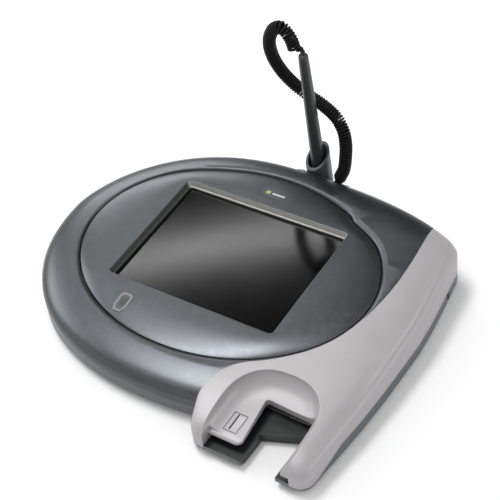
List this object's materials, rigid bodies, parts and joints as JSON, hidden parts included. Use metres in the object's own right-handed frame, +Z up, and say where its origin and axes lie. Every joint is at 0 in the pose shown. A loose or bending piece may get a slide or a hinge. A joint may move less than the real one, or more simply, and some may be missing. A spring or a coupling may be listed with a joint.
{
  "type": "card terminal",
  "caption": "Low oval countertop terminal with a sunk touch screen, a card slot with a thumb notch, and a tethered stylus standing in a cup.",
  "frame": {"origin": "on the counter, under the middle of the box around the part without its tether", "axes": "+X to the user's right, +Y away from the user, +Z up"},
  "size_m": [0.254, 0.23, 0.139],
  "materials": {
    "base_grey": "fine-textured moulded plastic",
    "graphite_paint": "satin graphite metallic paint on moulded plastic",
    "silver_paint": "satin silver metallic paint on moulded plastic",
    "screen_glass": "dark glossy touch glass",
    "panel": "display panel",
    "badge": "printed mark",
    "icon_print": "light grey print",
    "foam": "closed-cell foam",
    "sheet_steel": "bare sheet steel",
    "board": "green solder mask",
    "chip_black": "black moulded plastic",
    "header_white": "ivory moulded plastic",
    "ribbon": "amber flat cable",
    "guide_grey": "mid grey moulded plastic",
    "contact_gold": "gold plated",
    "spring_steel": "zinc-plated steel",
    "rubber_black": "black rubber",
    "holder_grey": "dark grey satin plastic",
    "stylus_grey": "dark grey satin plastic",
    "tip_black": "black acetal",
    "cord_black": "black soft plastic jacket"
  },
  "bodies": {
    "case": {"base_tray": "base_grey", "upper_case": "graphite_paint", "side_cover": "silver_paint", "face_plate": "graphite_paint", "touch_glass": "screen_glass", "face_badge": "badge", "card_icon": "icon_print", "slot_icon": "icon_print", "screen_gasket": "foam", "lcd_panel": "panel", "lcd_frame": "sheet_steel", "main_board": "board", "board_chips": "chip_black", "board_headers": "header_white", "display_ribbon": "ribbon", "inverter_board": "board", "inverter_parts": "chip_black", "data_socket": "chip_black", "power_socket": "chip_black", "reader_guide": "guide_grey", "reader_spring": "spring_steel", "reader_board": "board", "lock_plate": "sheet_steel", "case_screws": "spring_steel", "board_screws": "spring_steel", "frame_screws": "spring_steel", "holder_screws": "spring_steel", "case_feet": "rubber_black", "stylus_holder": "holder_grey", "tether_bushing": "rubber_black"},
    "stylus": {"stylus_barrel": "stylus_grey", "stylus_tip": "tip_black", "stylus_cap": "stylus_grey", "stylus_ferrule": "tip_black", "tether": "cord_black"},
    "carriage": {"reader_carriage": "chip_black", "reader_contacts": "contact_gold"}
  },
  "joints": [
    {"name": "stylus_slide", "type": "slide", "parent": "case", "child": "stylus", "axis": [0, -0.0698, 0.9976], "range_m": [0, 0.045]},
    {"name": "carriage_slide", "type": "slide", "parent": "case", "child": "carriage", "axis": [0, 1, 0], "range_m": [0, 0.004], "stiffness_N_per_m": 60, "springref_m": -0.003, "deforming": ["reader_spring"]}
  ]
}
